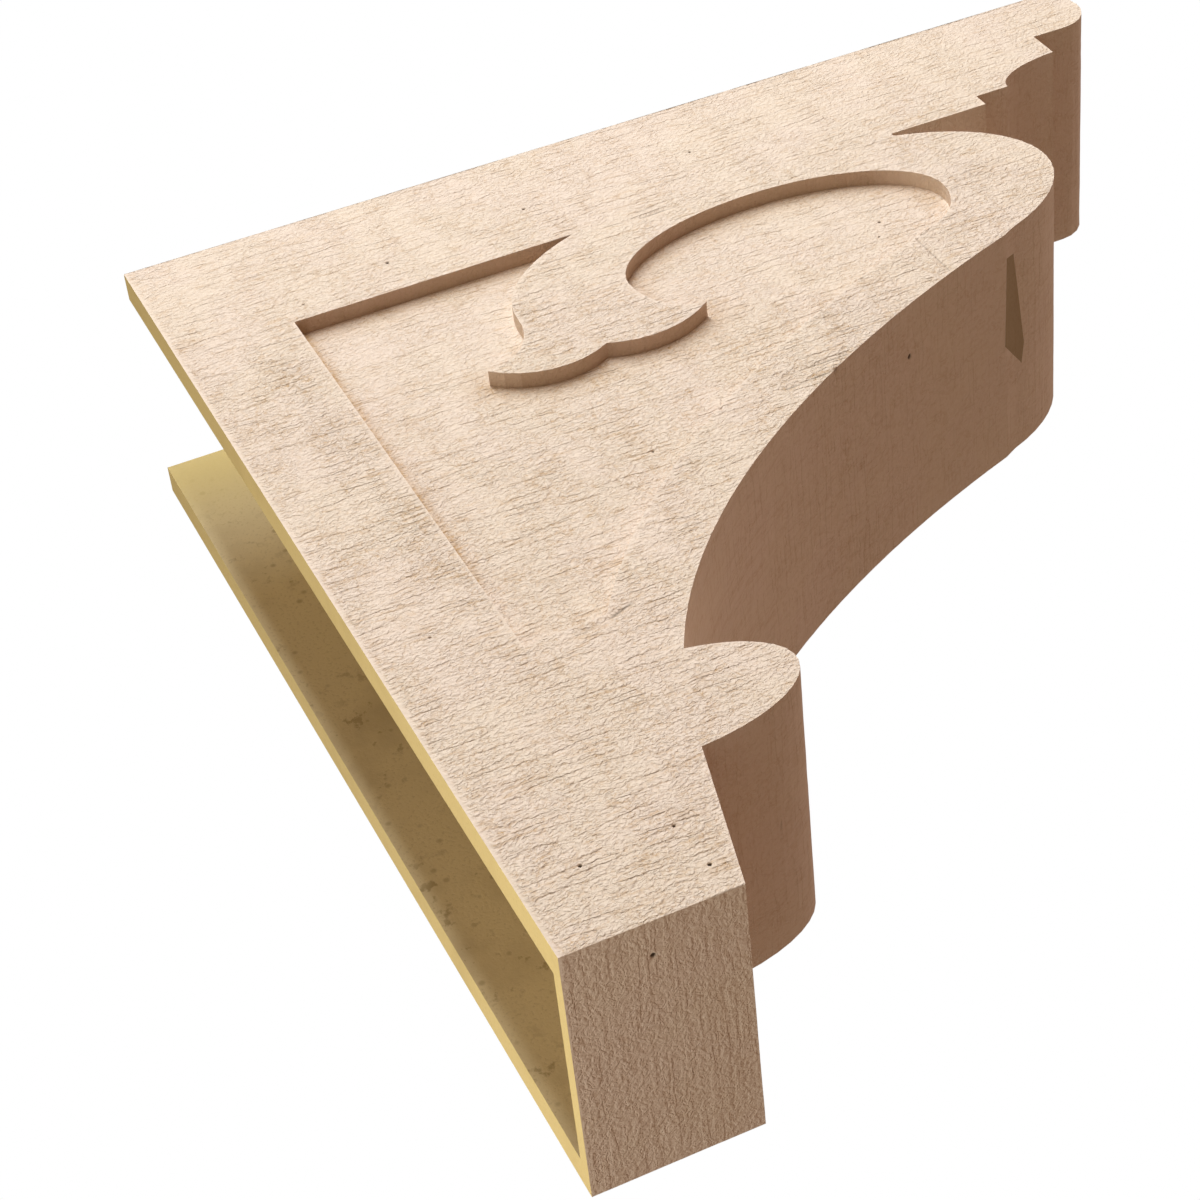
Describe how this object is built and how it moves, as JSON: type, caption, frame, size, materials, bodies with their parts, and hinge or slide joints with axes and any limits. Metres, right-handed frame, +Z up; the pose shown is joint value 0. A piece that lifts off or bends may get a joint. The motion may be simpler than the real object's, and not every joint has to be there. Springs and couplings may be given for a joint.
{
  "type": "corbel",
  "caption": "Hollow moulded corbel with a scrolled, coved side outline and a sunk panel carved on each cheek, open to the wall and above.",
  "frame": {"origin": "on the back rim, at the middle of the bottom wall's edge, which lies against the wall", "axes": "+Z up as installed, +Y into the wall (the corbel reaches out towards -Y), +X across its width"},
  "size_m": [0.0888, 0.3556, 0.3556],
  "materials": {
    "primed_foam": "tan primer over rough-sawn timber relief, matte; bare yellow foam on the back rim and inside the hollow"
  },
  "bodies": {
    "root": {"corbel_shell": "primed_foam"}
  },
  "joints": []
}
